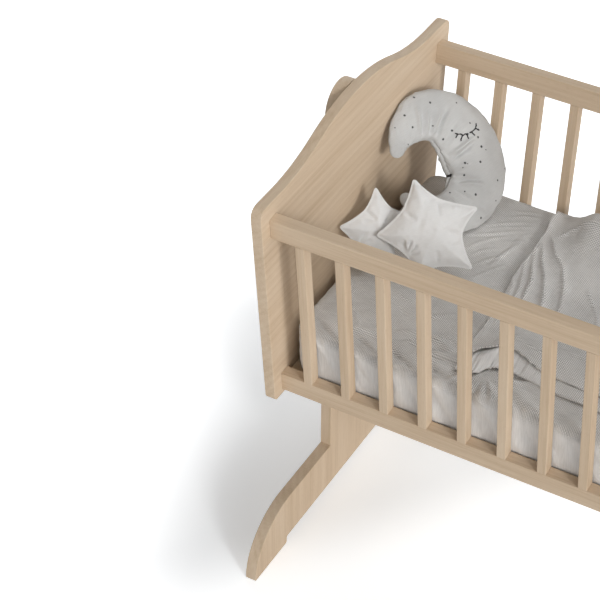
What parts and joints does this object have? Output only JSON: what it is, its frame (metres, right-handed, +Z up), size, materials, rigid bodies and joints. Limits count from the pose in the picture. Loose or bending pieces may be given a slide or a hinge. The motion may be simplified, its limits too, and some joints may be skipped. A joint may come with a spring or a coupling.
{
  "type": "bassinet",
  "caption": "Slatted wooden cradle that swings between two T-shaped stand ends, made up with a mattress, a blanket, a moon cushion and star cushions.",
  "frame": {"origin": "on the floor, under the middle of the cradle", "axes": "+X along the cradle towards the foot end, +Y across it, +Z up"},
  "size_m": [0.9872, 0.608, 0.8285],
  "materials": {
    "beech_boards": "clear satin lacquer on pale beech",
    "beech_stand": "clear satin lacquer on pale beech",
    "beech_stretcher": "clear satin lacquer on pale beech",
    "beech_rails": "clear satin lacquer on pale beech",
    "beech_slats": "clear satin lacquer on pale beech",
    "beech_pegs": "clear satin lacquer on pale beech",
    "plywood": "sanded birch plywood",
    "steel": "bright zinc plate",
    "brass": "turned",
    "nylon": "natural nylon",
    "sheet_fabric": "finely checked grey cotton",
    "blanket_fabric": "finely checked grey cotton",
    "moon_fabric": "light grey linen with small dark dots",
    "star_fabric": "off-white linen"
  },
  "bodies": {
    "stand": {"stand_end_head": "beech_stand", "pivot_bush_head": "nylon", "stretcher_bolt_head_lower": "steel", "stretcher_bolt_head_upper": "steel", "stand_end_foot": "beech_stand", "pivot_bush_foot": "nylon", "stretcher_bolt_foot_lower": "steel", "stretcher_bolt_foot_upper": "steel", "stretcher": "beech_stretcher"},
    "cradle": {"headboard": "beech_boards", "pivot_bolt_head": "steel", "pivot_insert_head": "brass", "pivot_washer_head": "nylon", "stop_peg_head_near": "beech_pegs", "stop_peg_head_far": "beech_pegs", "footboard": "beech_boards", "pivot_bolt_foot": "steel", "pivot_insert_foot": "brass", "pivot_washer_foot": "nylon", "stop_peg_foot_near": "beech_pegs", "stop_peg_foot_far": "beech_pegs", "top_rail_near": "beech_rails", "low_rail_near": "beech_rails", "slat_near_01": "beech_slats", "slat_near_02": "beech_slats", "slat_near_03": "beech_slats", "slat_near_04": "beech_slats", "slat_near_05": "beech_slats", "slat_near_06": "beech_slats", "slat_near_07": "beech_slats", "slat_near_08": "beech_slats", "slat_near_09": "beech_slats", "slat_near_10": "beech_slats", "slat_near_11": "beech_slats", "slat_near_12": "beech_slats", "slat_near_13": "beech_slats", "ledge_near": "beech_rails", "top_rail_far": "beech_rails", "low_rail_far": "beech_rails", "slat_far_01": "beech_slats", "slat_far_02": "beech_slats", "slat_far_03": "beech_slats", "slat_far_04": "beech_slats", "slat_far_05": "beech_slats", "slat_far_06": "beech_slats", "slat_far_07": "beech_slats", "slat_far_08": "beech_slats", "slat_far_09": "beech_slats", "slat_far_10": "beech_slats", "slat_far_11": "beech_slats", "slat_far_12": "beech_slats", "slat_far_13": "beech_slats", "ledge_far": "beech_rails", "mattress_base": "plywood", "mattress": "sheet_fabric", "blanket": "blanket_fabric", "moon_cushion": "moon_fabric", "star_cushion_large": "star_fabric", "star_cushion_small": "star_fabric"}
  },
  "joints": [
    {"name": "swing", "type": "hinge", "parent": "stand", "child": "cradle", "pos_m": [0, 0, 0.784], "axis": [1, 0, 0], "range_deg": [-10, 10]}
  ]
}
